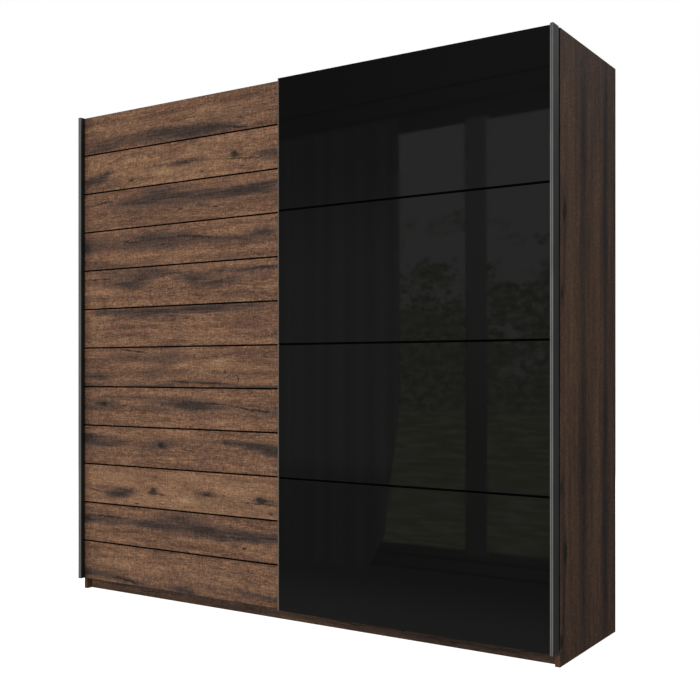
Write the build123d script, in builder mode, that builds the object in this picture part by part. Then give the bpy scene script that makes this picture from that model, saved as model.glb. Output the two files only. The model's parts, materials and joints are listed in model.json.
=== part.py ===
from build123d import *
import os

# Sliding door wardrobe: a board carcass with two doors that hang in front of it.
# Millimetres. X runs along the front to the right, -Y is the front and +Z is up.
# The origin is the centre of the footprint, on the floor.

os.makedirs("parts", exist_ok=True)

# ---- Overall size ----
WIDTH = 2250.0
DEPTH = 610.0
HEIGHT = 2100.0
DOOR_ZONE = 60.0  # depth in front of the carcass that the doors and their grips fill

# ---- Boards ----
BOARD = 18.0
BACK_BOARD = 3.0
PLINTH_BOARD = 16.0
PLINTH_HEIGHT = 52.0
PLINTH_SETBACK = 27.0
BRACES = 3
BRACE_PITCH = 700.0
TOP_RECESS = 50.0  # room above the top panel for the running gear
SHELF_SETBACK = 30.0
PARTITION_SETBACK = 28.0
HAT_SHELF_Z = 1750.0  # underside
SHELF_GAP = 0.5  # each side of a loose shelf
SHELF_BAYS = 3  # under the right hat shelf
EASE = 0.6  # eased board edges

# ---- Doors ----
PLANKS = 12
PLANK_THICKNESS = 16.0
PLANK_JOINT = 5.0
PLANK_EASE = 0.9
JOINT_RECESS = 6.0
JOINT_BACK = 13.0
PANES = 4
PANE_THICKNESS = 4.0
PANE_JOINT = 8.0
PANE_JOINT_RECESS = 2.5
PANE_EASE = 0.3
CORE_THICKNESS = 12.0
REAR_DOOR_GAP = 6.0  # carcass front to the left door's back
DOOR_TO_DOOR = 4.0  # left door's front to the right door's back
LEFT_DOOR_Z = (52.0, 2097.0)
RIGHT_DOOR_Z = (51.0, 2100.0)
LEFT_DOOR_START = 10.0  # from the carcass's left face
DOOR_OVERLAP_LEFT = 4.5  # the right door starts this far left of the middle
DOOR_OVERLAP_RIGHT = 15.0  # and the left door ends this far right of it

# ---- Aluminium edge profiles ----
WALL = 1.5
LEFT_GRIP = (15.5, 23.5)  # width, and how far it stands proud of the door
RIGHT_GRIP = (11.0, 18.0)
GRIP_FACE = 1.8
GRIP_ROUND = 0.6
FLUTE_WIDTH = 3.4
FLUTE_DEPTH = 0.9
BACK_LEG = 14.0
RIGHT_WEB_END = 12.0  # the right grip's web stops this far in front of the carcass
TRIM_WALL = 0.8
TRIM_WEB = 1.0
TRIM_FACE = 5.0
TRIM_BACK = 12.0

# ---- Running gear ----
STEEL = 2.0
HANGER_WIDTH = 60.0
HANGER_INSET = 93.0  # door edge to hanger centre
LANE_LEFT = 15.0  # behind the carcass front
LANE_RIGHT = 42.0
RIDGE_TOP = 8.0  # above the top panel
RIDGE_WIDTH = 4.0
TRACK_BASE = 2.5
TRACK_START = 2.0
TRACK_WIDTH = 53.0
CREST_ROUND = 1.3
TREAD_RADIUS = 11.0
FLANGE_RADIUS = 12.5
TREAD_WIDTH = 4.8
WHEEL_WIDTH = 8.0
WHEEL_LIFT = 0.05
AXLE_RADIUS = 3.0
AXLE_CLEARANCE = 0.05
COLLAR_RADIUS = 4.5
COLLAR_GAP = 0.3
RIVET_HEAD = 1.0
BEND_ROUND = 1.8
PLATE_TO_WHEEL = 2.0
LEFT_ARM_TOP = 2094.0
RIGHT_ARM_TOP = 2100.0
HANGER_FOOT = 2046.0
WHEEL_PLATE_FOOT = 2060.0
STOP_LENGTH = 15.5
STOP_HALF_DEPTH = 10.0
STOP_TOP = 2085.0
STOP_GAP = 1.5
STOP_ROUND = 4.0
TRAVEL = 1090.0

# ---- Bottom guides ----
RAIL_FRONT = 2.0  # behind the carcass front
RAIL_Z = (64.0, 76.0)
GROOVE_WIDTH = 4.4
GROOVE_TOP = 72.0
GROOVE_LEFT = 7.0
GROOVE_RIGHT = 15.0
TONGUE_DEPTH = 8.0
TONGUE_Z = (65.0, 68.0)
TONGUE_CLEARANCE = 0.1
GUIDE_WIDTH = 40.0
GUIDE_ARM_PAST = 4.5
GUIDE_PLATE_TOP = 90.0
LEFT_GUIDE_ARM_Z = 61.0
RIGHT_GUIDE_ARM_Z = 47.5
CUP_RADIUS = 4.0
CUP_BORE = 3.3
CUP_DEPTH = 10.5
CUP_FLOOR = 1.0
PIN_RADIUS = 1.9
PIN_HOLE = 2.2
PIN_TOP = 69.2
PIN_COLLAR_RADIUS = 3.0
PIN_COLLAR = 2.0
PIN_COLLAR_GAP = 0.3
PIN_EDGE = 0.5

# ---- Fasteners and inner fittings ----
SCREW_RADIUS = 2.0
SCREW_HEAD = 4.0
SCREW_CLEARANCE = 0.05
SCREW_GRIP = 10.0  # length in the door
SCREW_SPACING = 32.0
HEAD_TAPER = -45
TRACK_SCREW_PITCH = 300.0
TRACK_SCREWS = 7
TRACK_SCREW_LENGTH = 14.0
TRACK_SCREW_HEAD = 2.0
CAM_RADIUS = 7.5
CAM_DEPTH = 12.5
CAM_CLEARANCE = 0.1
CAM_INSET = 34.0
CAM_SLOT = 1.5
RAIL_RADIUS = 12.5
RAIL_WALL = 1.2
RAIL_Z_CENTRE = 1690.0
RAIL_Y = 30.0
CUP_BASE_RADIUS = 21.0
CUP_BASE = 3.0
CUP_RING_RADIUS = 16.0
CUP_RING = 12.0
CUP_RING_GAP = 0.1
PEG_RADIUS = 2.5
PEG_CLEARANCE = 0.05
PEG_IN = 9.0
PEG_OUT = 7.0
PEG_ROW_STEP = 64.0
PEG_INSET = 60.0
PEG_EDGE = 0.5

# ---- Places worked out from them ----
FRONT = -DEPTH / 2 + DOOR_ZONE  # the carcass's front edges
REAR = DEPTH / 2
BACK_FACE = REAR - BACK_BOARD
LEFT = -WIDTH / 2
RIGHT = WIDTH / 2
INNER = WIDTH / 2 - BOARD  # half of the inside width
TOP_PANEL_TOP = HEIGHT - TOP_RECESS
TOP_PANEL_Z = (TOP_PANEL_TOP - BOARD, TOP_PANEL_TOP)
FLOOR_Z = PLINTH_HEIGHT + BOARD
DIVIDER_X = (BOARD / 2 + INNER) / 2
SHELF_STEP = (HAT_SHELF_Z - FLOOR_Z) / SHELF_BAYS

LEFT_BACK = FRONT - REAR_DOOR_GAP
LEFT_FRONT = LEFT_BACK - PLANK_THICKNESS
RIGHT_BACK = LEFT_FRONT - DOOR_TO_DOOR
CORE_FRONT = RIGHT_BACK - CORE_THICKNESS
GLASS_FRONT = CORE_FRONT - PANE_THICKNESS
LEFT_DOOR_X = (LEFT + LEFT_DOOR_START, DOOR_OVERLAP_RIGHT)
RIGHT_DOOR_X = (-DOOR_OVERLAP_LEFT, RIGHT)
LEFT_HANGERS_X = (LEFT_DOOR_X[0] + HANGER_INSET, LEFT_DOOR_X[1] - HANGER_INSET)
RIGHT_HANGERS_X = (RIGHT_DOOR_X[0] + HANGER_INSET, RIGHT_DOOR_X[1] - HANGER_INSET)
WHEEL_Z = TOP_PANEL_TOP + RIDGE_TOP + TREAD_RADIUS + WHEEL_LIFT


def finish(piece, name):
    """Label a finished piece and write its STEP file."""
    piece.part.label = name
    export_step(piece.part, f"parts/{name}.step")


def block(x, y, z, edge=0.0):
    """A rectangular piece between its (low, high) limits along X, Y and Z."""
    with BuildPart() as piece:
        with BuildSketch(Plane.XY.offset(z[0])):
            with Locations(((x[0] + x[1]) / 2, (y[0] + y[1]) / 2)):
                Rectangle(x[1] - x[0], y[1] - y[0])
        extrude(amount=z[1] - z[0])
        if edge:
            chamfer(piece.edges(), edge)
    return piece


def drilled(piece, x, spots, radius, depth):
    """Blind holes along X into a finished block, from the plane at x, at (y, z) spots."""
    with piece:
        with BuildSketch(Plane.YZ.offset(x)) as holes:
            with Locations(*spots):
                Circle(radius)
        extrude(holes.sketch, amount=depth, mode=Mode.SUBTRACT)
    return piece


# ---- Carcass boards ----
depth_of_sides = (FRONT, REAR)
left_side = block((LEFT, -INNER), depth_of_sides, (0, HEIGHT), EASE)
finish(left_side, "side_panel_left")

# Rows of peg holes carry the loose shelves, between the divider and the right side
shelf_levels = (FLOOR_Z + SHELF_STEP, FLOOR_Z + 2 * SHELF_STEP)  # undersides
peg_ys = (FRONT + SHELF_SETBACK + PEG_INSET, BACK_FACE - PEG_INSET)
peg_spots = [(y, level - PEG_RADIUS) for y in peg_ys for level in shelf_levels]
hole_spots = [
    (y, z + row * PEG_ROW_STEP)
    for y, z in peg_spots
    for row in (-1, 0, 1)
]
hole_radius = PEG_RADIUS + PEG_CLEARANCE
right_side = block((INNER, RIGHT), depth_of_sides, (0, HEIGHT), EASE)
right_side = drilled(right_side, INNER, hole_spots, hole_radius, PEG_IN)
finish(right_side, "side_panel_right")

divider_face = DIVIDER_X + BOARD / 2
shelf_depth = (FRONT + SHELF_SETBACK, BACK_FACE)
divider = block(
    (DIVIDER_X - BOARD / 2, divider_face), shelf_depth, (FLOOR_Z, HAT_SHELF_Z), EASE
)
divider = drilled(divider, divider_face, hole_spots, hole_radius, -PEG_IN)
finish(divider, "shelf_divider")

partition = block(
    (-BOARD / 2, BOARD / 2),
    (FRONT + PARTITION_SETBACK, BACK_FACE),
    (FLOOR_Z, TOP_PANEL_Z[0]),
    EASE,
)
finish(partition, "centre_partition")

cam_ys = (FRONT + 2 * CAM_INSET, BACK_FACE - 2 * CAM_INSET)
cam_spots = [(x, y) for x in (CAM_INSET - INNER, INNER - CAM_INSET) for y in cam_ys]
track_mid = FRONT + TRACK_START + TRACK_WIDTH / 2
first_screw = -(TRACK_SCREWS - 1) / 2 * TRACK_SCREW_PITCH
track_screw_spots = [
    (first_screw + i * TRACK_SCREW_PITCH, track_mid) for i in range(TRACK_SCREWS)
]

with BuildPart() as top_panel:
    with BuildSketch(Plane.XY.offset(TOP_PANEL_Z[0])):
        with Locations((0, (FRONT + BACK_FACE) / 2)):
            Rectangle(2 * INNER, BACK_FACE - FRONT)
    extrude(amount=BOARD)
    with BuildSketch(Plane.XY.offset(TOP_PANEL_TOP)):
        with Locations(*cam_spots):
            Circle(CAM_RADIUS + CAM_CLEARANCE)
    extrude(amount=-CAM_DEPTH, mode=Mode.SUBTRACT)
    with BuildSketch(Plane.XY.offset(TOP_PANEL_TOP)):
        with Locations(*track_screw_spots):
            Circle(SCREW_RADIUS + SCREW_CLEARANCE)
    extrude(amount=-TRACK_SCREW_LENGTH, mode=Mode.SUBTRACT)
finish(top_panel, "top_panel")

bottom_front = FRONT + PLINTH_SETBACK
with BuildPart() as bottom_panel:
    with BuildSketch(Plane.XY.offset(PLINTH_HEIGHT)):
        with Locations((0, (bottom_front + BACK_FACE) / 2)):
            Rectangle(2 * INNER, BACK_FACE - bottom_front)
    extrude(amount=BOARD)
    # slot in the front edge that the guide rail's tongue is pressed into
    with BuildSketch(Plane.XY.offset(TONGUE_Z[0] - TONGUE_CLEARANCE)):
        with Locations((0, bottom_front + (TONGUE_DEPTH + TONGUE_CLEARANCE) / 2)):
            Rectangle(2 * INNER, TONGUE_DEPTH + TONGUE_CLEARANCE)
    extrude(amount=TONGUE_Z[1] - TONGUE_Z[0] + 2 * TONGUE_CLEARANCE, mode=Mode.SUBTRACT)
    with BuildSketch(Plane.XY.offset(PLINTH_HEIGHT)):
        with Locations(*cam_spots):
            Circle(CAM_RADIUS + CAM_CLEARANCE)
    extrude(amount=CAM_DEPTH, mode=Mode.SUBTRACT)
finish(bottom_panel, "bottom_panel")

plinth_z = (0, PLINTH_HEIGHT)
plinth_back_of_front = bottom_front + PLINTH_BOARD
plinth_front_of_rear = BACK_FACE - PLINTH_BOARD
plinth_front = block((-INNER, INNER), (bottom_front, plinth_back_of_front), plinth_z, EASE)
finish(plinth_front, "plinth_front")
plinth_rear = block((-INNER, INNER), (plinth_front_of_rear, BACK_FACE), plinth_z, EASE)
finish(plinth_rear, "plinth_rear")

with BuildPart() as plinth_braces:
    with BuildSketch(Plane.XY):
        with Locations((0, (plinth_back_of_front + plinth_front_of_rear) / 2)):
            with GridLocations(BRACE_PITCH, 0, BRACES, 1):
                Rectangle(PLINTH_BOARD, plinth_front_of_rear - plinth_back_of_front)
    extrude(amount=PLINTH_HEIGHT)
finish(plinth_braces, "plinth_braces")

back_z = (PLINTH_HEIGHT, TOP_PANEL_TOP)
finish(block((-INNER, 0), (BACK_FACE, REAR), back_z), "back_panel_left")
finish(block((0, INNER), (BACK_FACE, REAR), back_z), "back_panel_right")

hat_z = (HAT_SHELF_Z, HAT_SHELF_Z + BOARD)
finish(block((-INNER, -BOARD / 2), shelf_depth, hat_z, EASE), "hat_shelf_left")
finish(block((BOARD / 2, INNER), shelf_depth, hat_z, EASE), "hat_shelf_right")
loose_x = (divider_face + SHELF_GAP, INNER - SHELF_GAP)
for name, level in zip(("shelf_lower", "shelf_upper"), shelf_levels):
    shelf = block(loose_x, shelf_depth, (level, level + BOARD), EASE)
    finish(shelf, name)

# ---- Fittings inside ----
with BuildPart() as shelf_pins:
    for face, inward in ((divider_face, 1), (INNER, -1)):
        with BuildSketch(Plane.YZ.offset(face - inward * PEG_IN)):
            with Locations(*peg_spots):
                Circle(PEG_RADIUS)
        extrude(amount=inward * (PEG_IN + PEG_OUT))
    chamfer(shelf_pins.edges().filter_by(GeomType.CIRCLE), PEG_EDGE)
finish(shelf_pins, "shelf_pins")

rail_spans = {
    "hanging_rail_left": (-INNER, -BOARD / 2),
    "hanging_rail_right": (BOARD / 2, DIVIDER_X - BOARD / 2),
}
for name, (start, end) in rail_spans.items():
    with BuildPart() as hanging_rail:
        with BuildSketch(Plane.YZ.offset(start + CUP_BASE)):
            with Locations((RAIL_Y, RAIL_Z_CENTRE)):
                Circle(RAIL_RADIUS)
                Circle(RAIL_RADIUS - RAIL_WALL, mode=Mode.SUBTRACT)
        extrude(amount=end - start - 2 * CUP_BASE)
    finish(hanging_rail, name)

with BuildPart() as rail_brackets:
    for start, end in rail_spans.values():
        for face, inward in ((start, 1), (end, -1)):
            with BuildSketch(Plane.YZ.offset(face)):
                with Locations((RAIL_Y, RAIL_Z_CENTRE)):
                    Circle(CUP_BASE_RADIUS)
            extrude(amount=inward * CUP_BASE)
            with BuildSketch(Plane.YZ.offset(face + inward * CUP_BASE)):
                with Locations((RAIL_Y, RAIL_Z_CENTRE)):
                    Circle(CUP_RING_RADIUS)
                    Circle(RAIL_RADIUS + CUP_RING_GAP, mode=Mode.SUBTRACT)
            extrude(amount=inward * CUP_RING)
finish(rail_brackets, "rail_brackets")

# ---- Top track and bottom guide rail ----
lanes = {"left": FRONT + LANE_LEFT, "right": FRONT + LANE_RIGHT}
with BuildPart() as top_track:
    with BuildSketch(Plane.YZ.offset(-INNER)):
        with Locations((track_mid, TOP_PANEL_TOP + TRACK_BASE / 2)):
            Rectangle(TRACK_WIDTH, TRACK_BASE)
        for lane in lanes.values():
            with Locations((lane, TOP_PANEL_TOP + (RIDGE_TOP + TRACK_BASE / 2) / 2)):
                Rectangle(RIDGE_WIDTH, RIDGE_TOP - TRACK_BASE / 2)
    extrude(amount=2 * INNER)
    crests = top_track.edges().filter_by(Axis.X).group_by(Axis.Z)[-1]
    fillet(crests, CREST_ROUND)
    with BuildSketch(Plane.XY.offset(TOP_PANEL_TOP)):
        with Locations(*track_screw_spots):
            Circle(SCREW_RADIUS + SCREW_CLEARANCE)
    extrude(amount=TRACK_BASE, mode=Mode.SUBTRACT)
finish(top_track, "top_track")

rail_front = FRONT + RAIL_FRONT
with BuildPart() as bottom_guide_rail:
    with BuildSketch(Plane.YZ.offset(-INNER)):
        with Locations(((rail_front + bottom_front) / 2, sum(RAIL_Z) / 2)):
            Rectangle(bottom_front - rail_front, RAIL_Z[1] - RAIL_Z[0])
        with Locations((bottom_front + TONGUE_DEPTH / 2, sum(TONGUE_Z) / 2)):
            Rectangle(TONGUE_DEPTH, TONGUE_Z[1] - TONGUE_Z[0])
        for groove in (FRONT + GROOVE_LEFT, FRONT + GROOVE_RIGHT):
            with Locations((groove, (RAIL_Z[0] + GROOVE_TOP) / 2)):
                Rectangle(GROOVE_WIDTH, GROOVE_TOP - RAIL_Z[0], mode=Mode.SUBTRACT)
    extrude(amount=2 * INNER)
finish(bottom_guide_rail, "bottom_guide_rail")

hanger_half = HANGER_WIDTH / 2
stop_reach = hanger_half + STOP_GAP + STOP_LENGTH / 2
stop_spots = [
    (LEFT_HANGERS_X[0] - stop_reach, lanes["left"]),
    (LEFT_HANGERS_X[1] + TRAVEL + stop_reach, lanes["left"]),
    (RIGHT_HANGERS_X[0] - TRAVEL - stop_reach, lanes["right"]),
    (RIGHT_HANGERS_X[1] + stop_reach, lanes["right"]),
]
base_top = TOP_PANEL_TOP + TRACK_BASE
with BuildPart() as track_end_stops:
    with BuildSketch(Plane.XY.offset(base_top)):
        with Locations(*stop_spots):
            Rectangle(STOP_LENGTH, 2 * STOP_HALF_DEPTH)
    extrude(amount=STOP_TOP - base_top)
    with BuildSketch(Plane.XY.offset(base_top)):
        with Locations(*stop_spots):
            Rectangle(STOP_LENGTH, RIDGE_WIDTH)
    extrude(amount=TOP_PANEL_TOP + RIDGE_TOP - base_top, mode=Mode.SUBTRACT)
    crests = track_end_stops.edges().filter_by(Axis.Y).group_by(Axis.Z)[-1]
    fillet(crests, STOP_ROUND)
finish(track_end_stops, "track_end_stops")

# Cam discs join the panels, and round-headed screws hold the top track
with BuildPart() as carcass_fasteners:
    for face, inward in ((TOP_PANEL_TOP, -1), (PLINTH_HEIGHT, 1)):
        with BuildSketch(Plane.XY.offset(face)):
            with Locations(*cam_spots):
                Circle(CAM_RADIUS)
        extrude(amount=inward * CAM_DEPTH)
        with BuildSketch(Plane.XY.offset(face)):
            with Locations(*cam_spots):
                Rectangle(CAM_RADIUS, CAM_SLOT)
                Rectangle(CAM_SLOT, CAM_RADIUS)
        extrude(amount=inward * CAM_DEPTH / 3, mode=Mode.SUBTRACT)
    with BuildSketch(Plane.XY.offset(base_top)):
        with Locations(*track_screw_spots):
            Circle(SCREW_HEAD)
    extrude(amount=TRACK_SCREW_HEAD)
    with BuildSketch(Plane.XY.offset(base_top)):
        with Locations(*track_screw_spots):
            Circle(SCREW_RADIUS)
    extrude(amount=-TRACK_SCREW_LENGTH)
finish(carcass_fasteners, "carcass_fasteners")


# ---- Doors ----
def bracket_spots(hangers_x, hanger_z, guide_z):
    """Where one door's two hangers and two guides are screwed on: (x, z) pairs."""
    return [
        (x + side * SCREW_SPACING / 2, z)
        for x in hangers_x
        for z in (hanger_z, guide_z)
        for side in (-1, 1)
    ]


hanger_screw_z = HANGER_FOOT + (LEFT_ARM_TOP - HANGER_FOOT) / 3
guide_screw_z = GUIDE_PLATE_TOP - (GUIDE_PLATE_TOP - LEFT_GUIDE_ARM_Z) / 3
left_screws = bracket_spots(LEFT_HANGERS_X, hanger_screw_z, guide_screw_z)
right_screws = bracket_spots(RIGHT_HANGERS_X, hanger_screw_z, guide_screw_z)


def screw_holes(back, spots):
    """Cut the pilot holes for the bracket screws into the door board being built."""
    with BuildSketch(Plane.XZ.offset(-back)) as holes:
        with Locations(*spots):
            Circle(SCREW_RADIUS + SCREW_CLEARANCE)
    extrude(holes.sketch, amount=SCREW_GRIP, mode=Mode.SUBTRACT)


def screws(back, spots):
    """Countersunk screws: a shank in the door board and a flush head in the bracket."""
    with BuildPart() as piece:
        with BuildSketch(Plane.XZ.offset(-back)):
            with Locations(*spots):
                Circle(SCREW_RADIUS)
        extrude(amount=SCREW_GRIP)
        with BuildSketch(Plane.XZ.offset(-back)):
            with Locations(*spots):
                Circle(SCREW_RADIUS)
        extrude(amount=-STEEL, taper=HEAD_TAPER)
    return piece


# Left door: twelve planks between a grip profile and a plain edge profile
left_height = LEFT_DOOR_Z[1] - LEFT_DOOR_Z[0]
plank_height = (left_height - (PLANKS - 1) * PLANK_JOINT) / PLANKS
plank_pitch = plank_height + PLANK_JOINT
plank_x = (LEFT_DOOR_X[0] + WALL, LEFT_DOOR_X[1] - TRIM_WEB)
for i in range(PLANKS):
    top = LEFT_DOOR_Z[1] - i * plank_pitch
    in_plank = [(x, z) for x, z in left_screws if top - plank_height < z < top]
    plank = block(plank_x, (LEFT_FRONT, LEFT_BACK), (top - plank_height, top), PLANK_EASE)
    if in_plank:
        with plank:
            screw_holes(LEFT_BACK, in_plank)
    finish(plank, f"left_plank_{i + 1:02d}")

with BuildPart() as left_plank_joints:
    joint_y = LEFT_FRONT + (JOINT_RECESS + JOINT_BACK) / 2
    for i in range(PLANKS - 1):
        with BuildSketch(Plane.XY.offset(LEFT_DOOR_Z[0] + plank_height + i * plank_pitch)):
            with Locations((sum(plank_x) / 2, joint_y)):
                Rectangle(plank_x[1] - plank_x[0], JOINT_BACK - JOINT_RECESS)
        extrude(amount=PLANK_JOINT)
finish(left_plank_joints, "left_plank_joints")


def grip_profile(outer, inward, grip, shell, back, web_end, z):
    """A door's outer edge profile: a hollow grip standing proud of the shell, a web and a back leg."""
    width, proud = grip
    front = shell - proud
    with BuildPart() as piece:
        with BuildSketch(Plane.XY.offset(z[0])):
            with Locations((outer + inward * width / 2, (front + shell) / 2)):
                RectangleRounded(width, proud, GRIP_ROUND)
            hollow = (front + GRIP_FACE, shell - WALL)
            with Locations((outer + inward * width / 2, sum(hollow) / 2)):
                Rectangle(width - 2 * WALL, hollow[1] - hollow[0], mode=Mode.SUBTRACT)
            with Locations((outer + inward * width / 2, front + FLUTE_DEPTH / 2)):
                Rectangle(FLUTE_WIDTH, FLUTE_DEPTH, mode=Mode.SUBTRACT)
            web = (shell - WALL, web_end)
            with Locations((outer + inward * WALL / 2, sum(web) / 2)):
                Rectangle(WALL, web[1] - web[0])
            with Locations((outer + inward * BACK_LEG / 2, back + WALL / 2)):
                Rectangle(BACK_LEG, WALL)
        extrude(amount=z[1] - z[0])
    return piece


def edge_trim(outer, inward, front, back, face, z):
    """A slim U-shaped trim over a door's inner edge."""
    with BuildPart() as piece:
        with BuildSketch(Plane.XY.offset(z[0])):
            with Locations((outer + inward * TRIM_WEB / 2, (front + back) / 2)):
                Rectangle(TRIM_WEB, back - front + 2 * TRIM_WALL)
            with Locations((outer + inward * face / 2, front - TRIM_WALL / 2)):
                Rectangle(face, TRIM_WALL)
            with Locations((outer + inward * TRIM_BACK / 2, back + TRIM_WALL / 2)):
                Rectangle(TRIM_BACK, TRIM_WALL)
        extrude(amount=z[1] - z[0])
    return piece


left_grip = grip_profile(
    LEFT_DOOR_X[0], 1, LEFT_GRIP, LEFT_FRONT, LEFT_BACK, LEFT_BACK + WALL, LEFT_DOOR_Z
)
finish(left_grip, "left_handle_profile")
left_trim = edge_trim(LEFT_DOOR_X[1], -1, LEFT_FRONT, LEFT_BACK, TRIM_BACK, LEFT_DOOR_Z)
finish(left_trim, "left_inner_profile")
finish(screws(LEFT_BACK, left_screws), "left_door_screws")

# Right door: four glass panes on one core board
core_x = (RIGHT_DOOR_X[0] + TRIM_WEB, RIGHT_DOOR_X[1] - WALL)
core = block(core_x, (CORE_FRONT, RIGHT_BACK), RIGHT_DOOR_Z)
with core:
    screw_holes(RIGHT_BACK, right_screws)
finish(core, "right_door_board")

right_height = RIGHT_DOOR_Z[1] - RIGHT_DOOR_Z[0]
pane_height = (right_height - (PANES - 1) * PANE_JOINT) / PANES
pane_pitch = pane_height + PANE_JOINT
for i in range(PANES):
    top = RIGHT_DOOR_Z[1] - i * pane_pitch
    pane = block(core_x, (GLASS_FRONT, CORE_FRONT), (top - pane_height, top), PANE_EASE)
    finish(pane, f"glass_pane_{i + 1}")

with BuildPart() as right_pane_joints:
    for i in range(PANES - 1):
        with BuildSketch(Plane.XY.offset(RIGHT_DOOR_Z[0] + pane_height + i * pane_pitch)):
            with Locations((sum(core_x) / 2, CORE_FRONT - (PANE_THICKNESS - PANE_JOINT_RECESS) / 2)):
                Rectangle(core_x[1] - core_x[0], PANE_THICKNESS - PANE_JOINT_RECESS)
        extrude(amount=PANE_JOINT)
finish(right_pane_joints, "right_pane_joints")

right_grip = grip_profile(
    RIGHT_DOOR_X[1], -1, RIGHT_GRIP, GLASS_FRONT, RIGHT_BACK, FRONT - RIGHT_WEB_END, RIGHT_DOOR_Z
)
finish(right_grip, "right_handle_profile")
right_trim = edge_trim(RIGHT_DOOR_X[0], 1, GLASS_FRONT, RIGHT_BACK, TRIM_FACE, RIGHT_DOOR_Z)
finish(right_trim, "right_edge_trim")
finish(screws(RIGHT_BACK, right_screws), "right_door_screws")


# ---- Hangers and wheels ----
def countersinks(back, spots):
    """Cut the tapered screw holes into the bracket being built."""
    with BuildSketch(Plane.XZ.offset(-back)) as holes:
        with Locations(*spots):
            Circle(SCREW_RADIUS + SCREW_CLEARANCE)
    extrude(holes.sketch, amount=-STEEL, taper=HEAD_TAPER, mode=Mode.SUBTRACT)


def hangers(back, lane, arm_top, centres):
    """Two bent steel hangers with their riveted axles, from the door's back to its lane."""
    plate = lane + WHEEL_WIDTH / 2 + PLATE_TO_WHEEL
    with BuildPart() as piece:
        with BuildSketch(Plane.YZ):
            with Locations((back + STEEL / 2, (HANGER_FOOT + arm_top) / 2)):
                Rectangle(STEEL, arm_top - HANGER_FOOT)
            with Locations(((back + plate + STEEL) / 2, arm_top - STEEL / 2)):
                Rectangle(plate + STEEL - back, STEEL)
            with Locations((plate + STEEL / 2, (WHEEL_PLATE_FOOT + arm_top) / 2)):
                Rectangle(STEEL, arm_top - WHEEL_PLATE_FOOT)
        extrude(amount=hanger_half, both=True)
        outer_bends = piece.edges().filter_by(Axis.X).group_by(Axis.Z)[-1]
        fillet(outer_bends, BEND_ROUND)
        countersinks(back, [(s * SCREW_SPACING / 2, hanger_screw_z) for s in (-1, 1)])
        # the axle, with a shoulder behind the wheel and a rivet head in front of it
        with BuildSketch(Plane.XZ.offset(-plate)):
            with Locations((0, WHEEL_Z)):
                Circle(AXLE_RADIUS)
        extrude(amount=PLATE_TO_WHEEL + WHEEL_WIDTH + COLLAR_GAP)
        with BuildSketch(Plane.XZ.offset(-plate)):
            with Locations((0, WHEEL_Z)):
                Circle(COLLAR_RADIUS)
        extrude(amount=PLATE_TO_WHEEL - COLLAR_GAP)
        with BuildSketch(Plane.XZ.offset(-(lane - WHEEL_WIDTH / 2 - COLLAR_GAP))):
            with Locations((0, WHEEL_Z)):
                Circle(COLLAR_RADIUS)
        extrude(amount=RIVET_HEAD)
    one = piece.part
    with BuildPart() as pair:
        with Locations(*[(x, 0, 0) for x in centres]):
            add(one)
    return pair


def wheel(x, lane):
    """A grooved running wheel on its axle, turning about Y."""
    half = WHEEL_WIDTH / 2
    tread = TREAD_WIDTH / 2
    bore = AXLE_RADIUS + AXLE_CLEARANCE
    with BuildPart() as piece:
        with BuildSketch(Plane.YZ.offset(x)):
            with BuildLine():
                Polyline(
                    (lane - half, WHEEL_Z + bore),
                    (lane + half, WHEEL_Z + bore),
                    (lane + half, WHEEL_Z + FLANGE_RADIUS),
                    (lane + tread, WHEEL_Z + FLANGE_RADIUS),
                    (lane + tread, WHEEL_Z + TREAD_RADIUS),
                    (lane - tread, WHEEL_Z + TREAD_RADIUS),
                    (lane - tread, WHEEL_Z + FLANGE_RADIUS),
                    (lane - half, WHEEL_Z + FLANGE_RADIUS),
                    close=True,
                )
            make_face()
        revolve(axis=Axis((x, lane, WHEEL_Z), (0, 1, 0)))
    return piece


left_hangers = hangers(LEFT_BACK, lanes["left"], LEFT_ARM_TOP, LEFT_HANGERS_X)
finish(left_hangers, "left_hangers")
right_hangers = hangers(RIGHT_BACK, lanes["right"], RIGHT_ARM_TOP, RIGHT_HANGERS_X)
finish(right_hangers, "right_hangers")
for door, centres in (("left", LEFT_HANGERS_X), ("right", RIGHT_HANGERS_X)):
    for i, x in enumerate(centres):
        finish(wheel(x, lanes[door]), f"{door}_wheel_{i + 1}")


# ---- Bottom guides ----
def guide_brackets(back, groove, arm_z, centres):
    """Two bent steel guide brackets, each with the cup that holds a sprung guide pin."""
    arm_end = groove + GUIDE_ARM_PAST
    with BuildPart() as piece:
        with BuildSketch(Plane.YZ):
            with Locations((back + STEEL / 2, (arm_z + GUIDE_PLATE_TOP) / 2)):
                Rectangle(STEEL, GUIDE_PLATE_TOP - arm_z)
            with Locations(((back + arm_end) / 2, arm_z + STEEL / 2)):
                Rectangle(arm_end - back, STEEL)
        extrude(amount=GUIDE_WIDTH / 2, both=True)
        countersinks(back, [(s * SCREW_SPACING / 2, guide_screw_z) for s in (-1, 1)])
        with BuildSketch(Plane.XY.offset(arm_z - CUP_DEPTH)):
            with Locations((0, groove)):
                Circle(CUP_RADIUS)
        extrude(amount=CUP_DEPTH)
        with BuildSketch(Plane.XY.offset(arm_z - CUP_DEPTH + CUP_FLOOR)):
            with Locations((0, groove)):
                Circle(CUP_BORE)
        extrude(amount=CUP_DEPTH - CUP_FLOOR, mode=Mode.SUBTRACT)
        with BuildSketch(Plane.XY.offset(arm_z)):
            with Locations((0, groove)):
                Circle(PIN_HOLE)
        extrude(amount=STEEL, mode=Mode.SUBTRACT)
    one = piece.part
    with BuildPart() as pair:
        with Locations(*[(x, 0, 0) for x in centres]):
            add(one)
    return pair


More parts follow.
